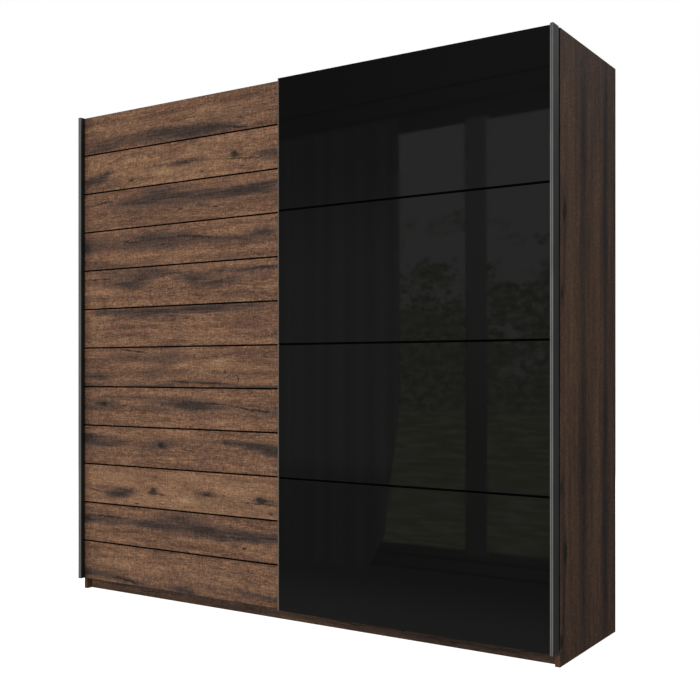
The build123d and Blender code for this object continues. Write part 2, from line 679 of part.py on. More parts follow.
def guide_pin(x, groove, arm_z):
    """A sprung pin that runs in the guide rail's groove and pulls down out of it."""
    collar_top = arm_z - PIN_COLLAR_GAP
    with BuildPart() as piece:
        with BuildSketch(Plane.XY.offset(collar_top - PIN_COLLAR)):
            with Locations((x, groove)):
                Circle(PIN_COLLAR_RADIUS)
        extrude(amount=PIN_COLLAR)
        with BuildSketch(Plane.XY.offset(collar_top)):
            with Locations((x, groove)):
                Circle(PIN_RADIUS)
        extrude(amount=PIN_TOP - collar_top)
        chamfer(piece.edges().group_by(Axis.Z)[-1], PIN_EDGE)
    return piece


guides = {
    "left": (LEFT_BACK, FRONT + GROOVE_LEFT, LEFT_GUIDE_ARM_Z, LEFT_HANGERS_X),
    "right": (RIGHT_BACK, FRONT + GROOVE_RIGHT, RIGHT_GUIDE_ARM_Z, RIGHT_HANGERS_X),
}
for door, (back, groove, arm_z, centres) in guides.items():
    finish(guide_brackets(back, groove, arm_z, centres), f"{door}_guide_brackets")
    for i, x in enumerate(centres):
        finish(guide_pin(x, groove, arm_z), f"{door}_guide_pin_{i + 1}")
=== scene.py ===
"""Looks of the sliding door wardrobe: materials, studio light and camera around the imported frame.

Lengths are metres in the row frame: +X along the front, +Y to the back, +Z up, origin on the floor.
"""

import json
import math

import bmesh
import bpy
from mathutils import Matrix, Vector


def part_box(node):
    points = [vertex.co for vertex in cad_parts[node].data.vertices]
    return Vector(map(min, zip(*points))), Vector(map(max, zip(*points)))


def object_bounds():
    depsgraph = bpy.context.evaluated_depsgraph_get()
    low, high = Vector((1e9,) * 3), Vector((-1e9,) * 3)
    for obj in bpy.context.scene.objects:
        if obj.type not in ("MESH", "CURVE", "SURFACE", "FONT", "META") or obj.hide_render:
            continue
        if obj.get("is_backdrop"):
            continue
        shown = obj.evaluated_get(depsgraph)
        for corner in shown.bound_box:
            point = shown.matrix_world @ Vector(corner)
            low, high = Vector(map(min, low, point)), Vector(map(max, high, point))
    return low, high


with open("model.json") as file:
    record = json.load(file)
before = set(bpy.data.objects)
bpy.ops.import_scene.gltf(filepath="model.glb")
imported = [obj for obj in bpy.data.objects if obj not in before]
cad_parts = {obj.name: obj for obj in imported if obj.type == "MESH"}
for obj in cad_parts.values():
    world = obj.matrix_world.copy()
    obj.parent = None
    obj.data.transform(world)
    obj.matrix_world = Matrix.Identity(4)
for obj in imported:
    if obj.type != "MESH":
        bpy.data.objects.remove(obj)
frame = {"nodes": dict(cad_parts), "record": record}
cad_low, cad_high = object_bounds()

MM = 0.001
# below this height the side panels' front edges get less painted shade of the doors
FOOT_HEIGHT = 52.0 * MM  # the side panels' front edges below this stand clear of the doors
GRIP_LIP = 11.0 * MM  # width of the right grip's lip

# ------------------------------------------------------------------ colours, linear RGB
OAK_LIGHT = (0.215, 0.115, 0.064)
OAK_MIDDLE = (0.108, 0.057, 0.035)
OAK_DEEP = (0.056, 0.032, 0.022)
OAK_PALE_PATCH = (0.300, 0.180, 0.098)
OAK_RED_PATCH = (0.085, 0.042, 0.031)
OAK_HAZE = (0.060, 0.039, 0.031)
OAK_SMOKE = (0.0245, 0.0180, 0.0160)
OAK_CRACK = (0.011, 0.009, 0.008)
# black of the joints and lacquered edges, also used for painted shade on boards and grips
JOINT_AND_SHADE_BLACK = (0.0015, 0.0014, 0.0014)
GRAPHITE = ((0.105, 0.105, 0.101), (0.140, 0.140, 0.134))
WHITE = (1.0, 1.0, 1.0)


# ------------------------------------------------------------------ a small node builder
class Material:
    """A node material being made. Each method adds one node and gives its output."""

    def __init__(self, name, plain):
        self.made = bpy.data.materials.new(name)
        self.made.use_nodes = True
        self.nodes = self.made.node_tree.nodes
        self.links = self.made.node_tree.links
        self.shader = self.nodes["Principled BSDF"]
        for socket, value in plain.items():
            self.put(self.shader.inputs[socket], value)

    def put(self, socket, value):
        """Links an output to the socket, or sets a plain value on it."""
        if isinstance(value, bpy.types.NodeSocket):
            self.links.new(value, socket)
        elif socket.type == "RGBA":
            socket.default_value = (*value, 1.0)
        else:
            socket.default_value = value

    def node(self, kind, inputs, output=0, **settings):
        made = self.nodes.new("ShaderNode" + kind)
        for name, value in settings.items():
            setattr(made, name, value)
        for socket, value in inputs.items():
            self.put(made.inputs[socket], value)
        return made.outputs[output]

    def math(self, operation, *values, clamp=False):
        return self.node("Math", dict(enumerate(values)), operation=operation, use_clamp=clamp)

    def vector(self, operation, *values):
        return self.node("VectorMath", dict(enumerate(values)), operation=operation)

    def fade(self, value, start, end, low=0.0, high=1.0):
        """Goes smoothly from low to high as value goes from start to end."""
        inputs = {"Value": value, "From Min": start, "From Max": end, "To Min": low, "To Max": high}
        return self.node("MapRange", inputs, interpolation_type="SMOOTHSTEP")

    def blend(self, share, first, second, mode="MIX"):
        """Colour first turns into second by share."""
        inputs = {0: share, 6: first, 7: second}
        return self.node("Mix", inputs, 2, data_type="RGBA", blend_type=mode)

    def noise(self, place, size, detail=2.0, roughness=0.5, seed=0.0, output="Fac"):
        """Smooth noise whose blotches measure about size = (x, y, z) in metres."""
        stretch = tuple(1.0 / length for length in size)
        shifted = self.vector("MULTIPLY_ADD", place, stretch, (seed * 7.31, seed * 3.17, seed))
        inputs = {"Vector": shifted, "Scale": 1.0, "Detail": detail, "Roughness": roughness}
        return self.node("TexNoise", inputs, output)

    def place(self):
        """The point on the body, in metres in the row frame at rest."""
        return self.node("TexCoord", {}, "Object")

    def axes(self, place):
        split = self.nodes.new("ShaderNodeSeparateXYZ")
        self.links.new(place, split.inputs[0])
        return split.outputs

    def emboss(self, height, depth):
        """Relief of the given depth in metres, from a height between 0 and 1."""
        bump = self.node("Bump", {"Height": height, "Distance": depth, "Strength": 1.0})
        self.put(self.shader.inputs["Normal"], bump)


def grey(material, value):
    """A colour with the value in all three channels."""
    return material.node("CombineXYZ", {0: value, 1: value, 2: value})


def band(material, value, start, end, soft=0.004):
    """1 between start and end, 0 outside, with soft edges."""
    rise = material.fade(value, start - soft, start + soft)
    fall = material.fade(value, end + soft, end - soft)
    return material.math("MULTIPLY", rise, fall)


def stirred(material, value, noise, strength):
    """The value moved up and down by a noise that swings around a half."""
    return material.math("MULTIPLY_ADD", material.math("SUBTRACT", noise, 0.5), strength, value)


def product(material, *values):
    """All the values multiplied."""
    total, *others = values
    for value in others:
        total = material.math("MULTIPLY", total, value)
    return total


# ------------------------------------------------------------------ rustic oak
# the side panels and the plinth are the planks' oak made darker, in part as painted shade
PLANK_SHADE, SIDE_SHADE, PLINTH_SHADE = 0.88, 0.76, 0.60  # share of its light a board keeps
PLANK_SEED_STEP = 2.7  # each plank's noises start this much further on than the last one's
SIDE_SEED, PLINTH_SEED = 41.0, 60.0

SPOT_FADE_END = 1.35  # a spot's colour has run out at this many times its half length and height
CRACK_HALF_WIDTH = 3.8  # millimetres
KNOT_BEND_REACH = (2.6, 3.0)  # how far a knot bends the grain, in its half lengths and heights
KNOT_BEND = -0.8

# Noises of the wood: the point each one follows, its blotch size along and across the grain in
# metres, its detail, its roughness and its offset from the board's seed.
GRAIN_NOISES = {
    "broad": ("bent", (0.42, 0.030), 3.0, 0.55, 4.0),
    "cloud": ("loose", (0.12, 0.042), 3.0, 0.55, 3.0),
    "streak": ("bent", (0.15, 0.0075), 3.0, 0.6, 5.0),
    "dash": ("bent", (0.034, 0.0046), 2.0, 0.6, 13.0),
    "fine": ("bent", (0.026, 0.0017), 2.0, 0.6, 6.0),
    "pores": ("bent", (0.014, 0.00055), 1.0, 0.5, 7.0),
    "saw": ("straight", (0.0075, 0.030), 2.0, 0.6, 8.0),
    "patch": ("straight", (0.15, 0.045), 2.0, 0.5, 9.0),
    "mottle": ("straight", (0.020, 0.009), 3.0, 0.65, 10.0),
    "crumb": ("straight", (0.0075, 0.0046), 2.0, 0.6, 11.0),
    "veins": ("bent", (0.26, 0.020), 4.0, 0.55, 12.0),
}
# How much each noise counts in the bare wood's colour, and where in their sum each colour lies.
GRAIN_MIX = {
    "broad": 0.75, "cloud": 0.15, "streak": 0.30, "dash": 0.40, "fine": 0.20, "crumb": 0.25,
}
GRAIN_COLOURS = ((0.80, OAK_DEEP), (1.00, OAK_MIDDLE), (1.25, OAK_LIGHT))
GRAIN_START, GRAIN_END = 0.6, 1.45
# Fine marks that darken and lighten the finished colour: noise from and to, darkest, lightest.
GRAIN_LIGHT = {
    "saw": (0.32, 0.68, 0.86, 1.14),
    "crumb": (0.30, 0.70, 0.74, 1.26),
    "dash": (0.30, 0.70, 0.84, 1.16),
}


def spot(material, place, x, y, half_length, half_height, tilt=0.0, core=0.0):
    """A soft ellipse, 1 inside its core and fading out just past its edge.

    Lengths are metres and the tilt is in degrees.
    """
    inputs = {
        "Vector": place,
        "Location": (x, y, 0.0),
        "Rotation": (0.0, 0.0, math.radians(tilt)),
        "Scale": (half_length, half_height, 1.0),
    }
    inside = material.node("Mapping", inputs, vector_type="TEXTURE")
    distance = material.node("VectorMath", {0: inside}, "Value", operation="LENGTH")
    return material.fade(distance, SPOT_FADE_END, core)


def gather(material, place, spots, core=0.0, longer=1.0, taller=1.0):
    """Adds up spots (x, y, half length, half height, tilt, strength) in millimetres, degrees."""
    total = 0.0
    for x, y, half_length, half_height, tilt, strength in spots:
        reach = (half_length * longer * MM, half_height * taller * MM)
        shape = spot(material, place, x * MM, y * MM, *reach, tilt, core)
        total = material.math("MULTIPLY_ADD", shape, strength, total)
    return total


def crack_spots(cracks):
    """Thin ellipses for cracks given by their two ends: (x, y, x, y, strength) in millimetres."""
    spots = []
    for x1, y1, x2, y2, strength in cracks:
        half_length = math.hypot(x2 - x1, y2 - y1) / 2
        tilt = math.degrees(math.atan2(y2 - y1, x2 - x1))
        middle = ((x1 + x2) / 2, (y1 + y2) / 2)
        spots.append((*middle, half_length, CRACK_HALF_WIDTH, tilt, strength))
    return spots


def knot_bend(material, place, knots):
    """How far the grain is pushed aside around knots, in metres across the grain."""
    longer, taller = KNOT_BEND_REACH
    bend = 0.0
    for x, y, half_length, half_height, tilt, _strength in knots:
        reach = (half_length * longer * MM, half_height * taller * MM)
        falloff = spot(material, place, x * MM, y * MM, *reach, tilt)
        offset = material.math("SUBTRACT", material.axes(place)[1], y * MM)
        bend = material.math("MULTIPLY_ADD", product(material, offset, falloff), KNOT_BEND, bend)
    return bend


def shaken(material, start, place, size, detail, roughness, seed, reach):
    """The point start, pushed about by up to half of reach by a noise at place."""
    push = material.noise(place, size, detail, roughness, seed, "Color")
    push = material.vector("SUBTRACT", push, (0.5, 0.5, 0.5))
    return material.vector("MULTIPLY_ADD", push, reach, start)


def shaded(colour, shade):
    """The colour made darker or lighter."""
    return tuple(value * shade for value in colour)


def bare_wood(material, grain, tone, shade):
    """The wood's colour without its marks, from deep to light."""
    mixed = tone
    for name, share in GRAIN_MIX.items():
        mixed = material.math("MULTIPLY_ADD", grain[name], share, mixed)
    spread = {"Value": mixed, "From Min": GRAIN_START, "From Max": GRAIN_END,
              "To Min": 0.0, "To Max": 1.0}
    ramp = material.nodes.new("ShaderNodeValToRGB")
    ramp.color_ramp.interpolation = "B_SPLINE"
    stops = ramp.color_ramp.elements
    for level, colour in GRAIN_COLOURS:
        stop = stops.new((level - GRAIN_START) / (GRAIN_END - GRAIN_START))
        stop.color = (*shaded(colour, shade), 1.0)
    stops.remove(stops[0])
    stops.remove(stops[-1])
    material.links.new(material.node("MapRange", spread), ramp.inputs[0])
    return ramp.outputs[0]


def patched(material, colour, figure, place, patch, shade):
    """Red and pale patches over the bare wood."""
    red_share = material.fade(patch, 0.52, 0.72, 0.0, 0.5)
    if "red" in figure:
        red = gather(material, place, figure["red"])
        red_share = material.math("MULTIPLY_ADD", red, 0.7, red_share, clamp=True)
    colour = material.blend(red_share, colour, shaded(OAK_RED_PATCH, shade))
    if "pale" in figure:
        pale = gather(material, place, figure["pale"])
        pale_share = material.math("MULTIPLY", pale, 0.5, clamp=True)
        colour = material.blend(pale_share, colour, shaded(OAK_PALE_PATCH, shade))
    return colour


def smoky(material, figure, place):
    """How smoky each point is: the figure's bands, and a halo around each knot."""
    halos = [(x, y, 1.6 * length, 1.5 * height, tilt, 0.6)
             for x, y, length, height, tilt, _strength in figure.get("knots", [])]
    return gather(material, place, figure["smoke"] + halos, longer=1.9, taller=1.5)


def smoked(material, colour, smoke, grain, shade):
    """Lays the smoke over the colour: a haze, and denser wisps that run with the grain."""
    wisp = stirred(material, smoke, grain["streak"], 1.6)
    wisp = stirred(material, wisp, grain["dash"], 1.0)
    wisp = stirred(material, wisp, grain["mottle"], 0.6)
    haze_share = product(material, material.fade(wisp, 0.0, 0.90, 0.0, 0.85),
                         material.fade(smoke, 0.0, 0.35))
    colour = material.blend(haze_share, colour, shaded(OAK_HAZE, shade))
    dense = stirred(material, wisp, grain["streak"], 1.0)
    dense_share = material.fade(dense, 0.70, 1.45, 0.0, 0.80)
    return material.blend(dense_share, colour, shaded(OAK_SMOKE, shade))


def marked(material, figure, ragged, loose, smoke, grain):
    """Share of the darkest colour: veins, stronger in the smoke, knots, cracks and ticks."""
    vein = material.math("ABSOLUTE", material.math("SUBTRACT", grain["veins"], 0.5))
    dark = product(material, material.fade(vein, 0.020, 0.002),
                   material.fade(smoke, 0.05, 0.8, 0.16, 0.75))
    knots = gather(material, ragged, figure.get("knots", []), 0.25, 1.2, 1.35)
    cracks = gather(material, ragged, crack_spots(figure["cracks"]), 0.5)
    ticks = gather(material, loose, figure.get("ticks", []), 0.2)
    for marks, weight in ((knots, 0.95), (cracks, 1.15), (ticks, 1.2)):
        dark = material.math("MULTIPLY_ADD", marks, weight, dark)
    dark = stirred(material, dark, grain["mottle"], 0.4)
    return material.fade(dark, 0.15, 1.0, 0.0, 0.80)


def oak(name, place_of, figure, seed, shade, tone=0.0, edge=None, gloss=0.35):
    """Rustic oak with its grain along the first axis that place_of gives.

    figure holds lists of smoke, knots, cracks, ticks, pale and red patches in millimetres; shade
    darkens the whole board, tone moves its grain towards deep (-) or light (+), and edge gives
    the share of black on the board's lacquered edges and of its painted shade.
    """
    material = Material(name, {"IOR": 1.45, "Specular IOR Level": gloss})
    straight = place_of(material)
    loose = shaken(material, straight, straight, (0.22, 0.06, 1.0), 3.0, 0.55, seed,
                   (0.075, 0.020, 0.0))
    ragged = shaken(material, loose, straight, (0.035, 0.012, 1.0), 2.0, 0.6, seed + 2.0,
                    (0.040, 0.020, 0.0))
    bent = loose
    if "knots" in figure:
        bend = material.node("CombineXYZ", {"Y": knot_bend(material, straight, figure["knots"])})
        bent = material.vector("ADD", loose, bend)
    places = {"straight": straight, "loose": loose, "bent": bent}
    grain = {}
    for key, (place, size, detail, roughness, offset) in GRAIN_NOISES.items():
        grain[key] = material.noise(places[place], (*size, 1.0), detail, roughness, seed + offset)

    colour = bare_wood(material, grain, tone, shade)
    colour = patched(material, colour, figure, loose, grain["patch"], shade)
    smoke = smoky(material, figure, ragged)
    colour = smoked(material, colour, smoke, grain, shade)
    dark_share = marked(material, figure, ragged, loose, smoke, grain)
    colour = material.blend(dark_share, colour, shaded(OAK_CRACK, shade))
    pore_share = material.fade(grain["pores"], 0.58, 0.72, 0.0, 0.55)
    colour = material.blend(pore_share, colour, shaded(OAK_DEEP, shade))
    lights = [material.fade(grain[key], *span) for key, span in GRAIN_LIGHT.items()]
    light = product(material, *lights)
    colour = material.blend(1.0, colour, grey(material, light), "MULTIPLY")
    # black lacquer on the edges, and painted shade where edge asks for it
    if edge:
        colour = material.blend(edge(material), colour, JOINT_AND_SHADE_BLACK)
    material.put(material.shader.inputs["Base Color"], colour)

    rough = material.fade(grain["fine"], 0.3, 0.7, 0.66, 0.50)
    rough = material.math("MULTIPLY_ADD", dark_share, 0.15, rough)
    material.put(material.shader.inputs["Roughness"], rough)

    relief = 0.0
    for height, weight in ((grain["fine"], 0.5), (grain["streak"], 0.4), (grain["saw"], 0.12),
                           (pore_share, -0.9), (dark_share, -1.0)):
        relief = material.math("MULTIPLY_ADD", height, weight, relief)
    material.emboss(relief, 0.35 * MM)
    return material.made


# Figure of each plank from the top one down, in millimetres from its lower left corner.
# smoke, knots, pale, red, ticks: x, z, half length, half height, tilt in degrees, strength.
# cracks: x, z of one end, x, z of the other, strength.
# tone: how much lighter the whole plank's grain is.
PLANK_FIGURES = [
    dict(
        smoke=[(135, 18, 62, 14, 0, 0.9), (240, 38, 260, 20, 0, 0.42), (595, 31, 150, 26, -2, 1.0),
               (665, 24, 60, 14, 0, 0.5), (770, 30, 60, 10, -4, 0.6), (980, 20, 190, 22, -2, 0.38),
               (160, 139, 60, 8, 0, 0.4), (370, 142, 60, 7, 0, 0.4), (560, 153, 60, 7, 0, 0.35)],
        cracks=[(800, 28, 960, 4, 0.8)],
        pale=[(230, 100, 240, 30, 0, 0.35), (820, 90, 260, 34, 0, 0.4)],
        tone=-0.01),
    dict(
        smoke=[(108, 54, 62, 24, 8, 1.1), (60, 50, 50, 10, 0, 0.6), (640, 80, 60, 8, 0, 0.6),
               (1075, 54, 62, 18, -4, 0.9), (1020, 67, 90, 7, -3, 0.5)],
        knots=[(588, 78, 24, 8, 0, 0.9), (865, 78, 20, 15, 0, 0.9)],
        cracks=[(110, 66, 215, 82, 0.6), (110, 56, 190, 64, 0.5), (795, 64, 1040, 48, 0.7),
                (275, 33, 305, 34, 0.8), (680, 31, 720, 32, 0.8), (895, 28, 930, 28, 0.8)],
        pale=[(485, 50, 60, 22, 0, 1.0), (300, 120, 80, 20, 0, 0.6), (720, 120, 180, 24, 0, 0.45),
              (600, 40, 500, 60, 0, 0.3)],
        ticks=[(553, 45, 4, 14, 20, 0.35)],
        tone=0.05),
    dict(
        smoke=[(330, 101, 130, 18, 0, 0.65), (550, 107, 190, 33, 0, 0.8),
               (470, 143, 60, 20, 0, 0.6), (572, 111, 42, 9, 0, 0.6), (780, 100, 110, 20, 0, 0.6),
               (920, 97, 75, 18, 6, 1.0), (1025, 114, 105, 11, 3, 1.0), (1035, 89, 55, 11, 0, 0.8),
               (725, 61, 24, 8, 0, 0.9), (310, 61, 26, 8, 0, 0.6), (400, 32, 50, 10, 0, 0.3)],
        cracks=[(15, 116, 215, 123, 0.85), (575, 59, 605, 59, 0.8), (775, 51, 805, 52, 0.8)],
        tone=-0.01),
    dict(
        smoke=[(12, 100, 40, 24, 0, 1.1), (85, 105, 120, 32, 0, 0.55), (300, 92, 50, 13, 0, 0.6),
               (500, 100, 120, 31, 0, 1.0), (440, 114, 60, 14, 0, 0.5), (780, 92, 95, 13, -3, 0.8),
               (1022, 96, 42, 13, 0, 0.9), (1010, 98, 95, 30, 0, 0.45),
               (250, 130, 170, 10, 0, 0.35), (150, 9, 160, 12, 0, 0.45), (850, 8, 80, 9, 0, 0.45)],
        cracks=[(228, 113, 362, 102, 0.8), (560, 115, 830, 92, 0.8), (830, 92, 980, 72, 0.5),
                (10, 87, 160, 84, 0.4)],
        tone=0.0),
    dict(
        smoke=[(110, 150, 60, 12, 0, 0.4), (225, 133, 80, 12, 0, 0.6), (390, 122, 85, 12, 5, 0.85),
               (210, 101, 130, 14, -2, 0.65), (310, 90, 60, 14, 0, 0.5),
               (425, 152, 80, 11, 0, 0.7), (560, 129, 170, 20, -2, 0.55),
               (650, 101, 52, 16, 0, 1.0), (805, 86, 80, 10, 4, 1.0), (770, 76, 70, 12, 0, 0.5),
               (950, 131, 100, 8, 0, 1.1), (1075, 128, 55, 8, 0, 1.0), (960, 98, 150, 22, 0, 0.3)],
        cracks=[(5, 126, 190, 128, 0.8), (500, 69, 545, 63, 0.6)],
        tone=0.02),
    dict(
        smoke=[(100, 154, 40, 16, 0, 0.55), (220, 154, 85, 16, 0, 0.7),
               (385, 144, 105, 19, 0, 0.95), (600, 151, 150, 15, 0, 0.9),
               (810, 150, 125, 18, 0, 0.95), (980, 158, 90, 9, 0, 0.5), (190, 114, 26, 9, 0, 0.5),
               (265, 86, 50, 13, 0, 0.5), (95, 80, 40, 14, 0, 0.35), (555, 121, 95, 6, -2, 0.5)],
        cracks=[(512, 125, 538, 124, 0.8), (590, 114, 620, 113, 0.8), (650, 104, 682, 104, 0.6),
                (690, 122, 850, 119, 0.4)],
        red=[(930, 82, 130, 34, 0, 0.9)],
        tone=0.02),
    dict(
        smoke=[(300, 126, 130, 22, -5, 0.55), (530, 130, 65, 27, 0, 0.55),
               (115, 37, 65, 10, 0, 1.0), (60, 47, 60, 10, 0, 0.55), (650, 20, 150, 9, 0, 0.6),
               (430, 4, 100, 8, 0, 1.0), (1010, 5, 130, 7, 0, 0.9), (20, 5, 50, 8, 0, 0.8),
               (420, 59, 70, 22, 0, 0.4)],
        cracks=[(235, 161, 395, 147, 0.8), (470, 19, 660, 21, 0.7), (640, 20, 870, 12, 0.7)],
        pale=[(800, 105, 95, 20, 8, 1.0), (600, 90, 60, 14, 10, 0.8), (690, 60, 100, 14, -5, 0.6)],
        ticks=[(635, 40, 4, 18, 8, 0.7), (675, 47, 4, 20, 8, 0.7), (885, 40, 5, 20, 12, 0.9),
               (1060, 24, 4, 12, 0, 0.5), (826, 62, 9, 12, 0, 0.7)],
        tone=-0.01),
    dict(
        smoke=[(130, 94, 100, 23, 0, 0.4), (450, 76, 65, 9, -4, 0.55),
               (600, 107, 130, 21, 0, 0.95), (675, 88, 65, 20, 0, 0.85),
               (870, 84, 110, 11, -2, 0.6), (30, 72, 32, 10, 0, 0.7), (1070, 70, 60, 12, -5, 0.6),
               (300, 8, 120, 9, 0, 0.4), (240, 126, 110, 7, 0, 0.45)],
        knots=[(130, 94, 30, 11, 0, 0.9)],
        cracks=[(700, 110, 880, 97, 0.8), (860, 99, 1080, 71, 0.8), (250, 86, 280, 84, 0.7),
                (340, 106, 362, 106, 0.7)],
        tone=0.02),
    dict(
        smoke=[(25, 114, 50, 18, 0, 0.9), (95, 106, 110, 18, -2, 0.85), (75, 80, 65, 14, 0, 0.55),
               (180, 86, 60, 9, 0, 0.5), (470, 96, 90, 20, 0, 0.4), (360, 75, 45, 10, 0, 0.5),
               (580, 121, 80, 10, 0, 0.4), (810, 121, 80, 9, 0, 0.65), (950, 118, 75, 13, -3, 0.9),
               (1045, 105, 85, 20, -4, 1.0), (1085, 86, 50, 14, 0, 0.7),
               (690, 10, 120, 9, 0, 0.45)],
        knots=[(475, 95, 26, 10, 0, 0.9)],
        cracks=[(190, 107, 310, 104, 0.6), (590, 82, 630, 82, 0.7), (680, 108, 705, 106, 0.6)],
        ticks=[(825, 18, 5, 18, 0, 0.6)],
        tone=0.02),
    dict(
        smoke=[(232, 50, 60, 22, 10, 1.1), (1075, 60, 50, 12, 0, 0.6), (775, 74, 70, 10, 0, 0.35),
               (130, 47, 90, 8, -4, 0.4)],
        knots=[(425, 71, 20, 13, 0, 0.9), (724, 73, 26, 8, 0, 0.9), (1010, 71, 20, 13, 0, 0.9)],
        cracks=[(20, 60, 140, 46, 0.7), (235, 62, 320, 74, 0.6), (235, 52, 300, 58, 0.5),
                (385, 60, 510, 58, 0.7), (915, 55, 1110, 50, 0.8), (455, 21, 485, 21, 0.8),
                (335, 10, 362, 10, 0.7), (815, 26, 848, 26, 0.7), (1035, 21, 1070, 21, 0.8)],
        pale=[(620, 45, 62, 22, 0, 1.0), (200, 120, 160, 24, 0, 0.5), (600, 130, 220, 24, 0, 0.5),
              (900, 110, 160, 30, 0, 0.5), (600, 40, 520, 60, 0, 0.35)],
        ticks=[(697, 42, 4, 14, 15, 0.35)],
        tone=0.09),
    dict(
        smoke=[(12, 97, 40, 18, 0, 0.9), (130, 100, 130, 20, 2, 0.85), (355, 103, 55, 12, 0, 0.55),
               (440, 94, 75, 15, 2, 0.95), (625, 104, 140, 36, 0, 0.8), (575, 140, 90, 22, 0, 0.5),
               (712, 104, 42, 13, 0, 0.6), (860, 97, 125, 20, 0, 0.85),
               (1040, 97, 90, 14, 2, 0.95), (900, 74, 160, 12, 0, 0.4), (868, 52, 22, 7, 0, 0.8),
               (800, 69, 22, 7, 0, 0.6)],
        cracks=[(40, 111, 310, 112, 0.8), (918, 46, 945, 46, 0.8)],
        tone=0.0),
    dict(
        smoke=[(105, 31, 95, 12, 0, 0.9), (15, 28, 40, 12, 0, 0.8), (310, 13, 110, 10, -4, 0.6),
               (585, 14, 52, 13, 0, 1.0), (720, 43, 290, 13, 0, 0.4), (985, 35, 60, 7, -3, 0.6),
               (1065, 31, 45, 6, 0, 0.4), (600, 10, 560, 14, 0, 0.3), (620, 136, 110, 9, 0, 0.35)],
        cracks=[(190, 26, 360, 4, 0.75), (790, 21, 830, 21, 0.7)],
        pale=[(250, 90, 220, 30, 0, 0.35), (800, 95, 220, 24, 0, 0.35)],
        tone=0.02),
]

# Figure of the side panels, in millimetres: x is the height, y the depth from the front edge.
SIDE_FIGURE = dict(
    smoke=[(1000, 215, 1300, 34, 0, 0.40), (1840, 214, 130, 26, 0, 0.65),
           (1560, 212, 260, 26, 0, 0.6), (820, 215, 200, 28, 0, 0.6), (420, 212, 260, 30, 0, 0.65),
           (1000, 436, 1300, 28, 0, 0.5), (1870, 436, 110, 20, 0, 0.9),
           (1500, 436, 200, 24, 0, 0.9), (800, 438, 110, 22, 0, 0.8), (350, 434, 230, 26, 0, 0.9),
           (1330, 34, 180, 12, 0, 0.45), (500, 36, 330, 13, 0, 0.45), (130, 30, 150, 14, 0, 0.5),
           (1000, 300, 1100, 14, 0, 0.25), (1300, 520, 900, 14, 0, 0.4)],
    knots=[(1508, 40, 42, 13, 0, 0.9), (1226, 16, 22, 11, 0, 0.8), (590, 14, 24, 11, 0, 0.8),
           (372, 42, 44, 14, 0, 0.9), (80, 14, 26, 11, 0, 0.8)],
    cracks=[(1440, 38, 1250, 30, 0.7), (330, 42, 90, 30, 0.7)],
    pale=[(1900, 42, 70, 14, 0, 0.8), (830, 45, 70, 12, 0, 0.8), (1400, 100, 700, 40, 0, 0.4),
          (600, 350, 600, 40, 0, 0.4), (1500, 360, 500, 40, 0, 0.4)])

# Figure of the plinth boards, in millimetres from their left end.
PLINTH_FIGURE = dict(
    smoke=[(420, 30, 260, 12, 0, 0.6), (900, 18, 200, 10, 0, 0.5), (1500, 26, 420, 16, 0, 0.7),
           (2000, 24, 300, 20, 0, 0.8), (120, 40, 90, 10, 0, 0.5)],
    cracks=[(300, 22, 560, 30, 0.6), (1250, 30, 1480, 24, 0.6)])


# ------------------------------------------------------------------ where a board's grain runs
def along_front(low):
    """Grain along X; across it the height, carried on round the edges by the depth."""
    def place_of(material):
        x, y, z = material.axes(material.place())
        across = material.math("ADD", material.math("SUBTRACT", z, low.z),
                               material.math("SUBTRACT", y, low.y))
        return material.node("CombineXYZ", {"X": material.math("SUBTRACT", x, low.x), "Y": across})
    return place_of


def upright(low, outer_x):
    """Grain along Z; across it the depth, carried on round the edges by the inset from outer_x."""
    def place_of(material):
        x, y, z = material.axes(material.place())
        inset = material.math("ABSOLUTE", material.math("SUBTRACT", x, outer_x))
        across = material.math("SUBTRACT", material.math("SUBTRACT", y, low.y), inset)
        return material.node("CombineXYZ", {"X": material.math("SUBTRACT", z, low.z), "Y": across})
    return place_of


RIM = 1.1  # millimetres of a plank's edge that are lacquered black


def lacquered(low, high):
    """Share of black on a plank's eased edges and the faces behind them, and painted grip shadow on
    its left end.
    """
    def edge(material):
        x, y, z = material.axes(material.place())
        back = material.fade(y, low.y + 0.2 * MM, low.y + 0.6 * MM, 0.0, 0.97)
        middle = (low.z + high.z) / 2
        aside = material.math("ABSOLUTE", material.math("SUBTRACT", z, middle))
        half = (high.z - low.z) / 2
        rim = material.fade(aside, half - RIM * MM, half - (RIM - 0.4) * MM, 0.0, 0.97)
        # painted shadow of the left grip, strongest at the plank's left end
        end = material.fade(x, low.x + 75.0 * MM, low.x + 8.0 * MM, 0.0, 0.38)
        return material.math("MAXIMUM", end, material.math("MAXIMUM", back, rim))
    return edge


def painted_foot_shade(material):
    """Painted shade towards the foot of a plinth board, as a share of black."""
    _x, _y, z = material.axes(material.place())
    return material.fade(z, 30.0 * MM, 0.0, 0.0, 0.40)


def tucked(front, rear, above):
    """Share of black on a side panel's rear edge, and painted door shade on its front edge, less on
    the foot.
    """
    def edge(material):
        _x, y, z = material.axes(material.place())
        # painted shade of the doors on the front edge, half as strong on the foot below them
        near = material.fade(y, front + 0.8 * MM, front + 0.2 * MM, 0.0, 0.80)
        near = product(material, near, material.fade(z, above, above + 6.0 * MM, 0.5, 1.0))
        far = material.fade(y, rear - 16.0 * MM, rear - 4.0 * MM, 0.0, 0.85)
        return material.math("MAXIMUM", near, far)
    return edge


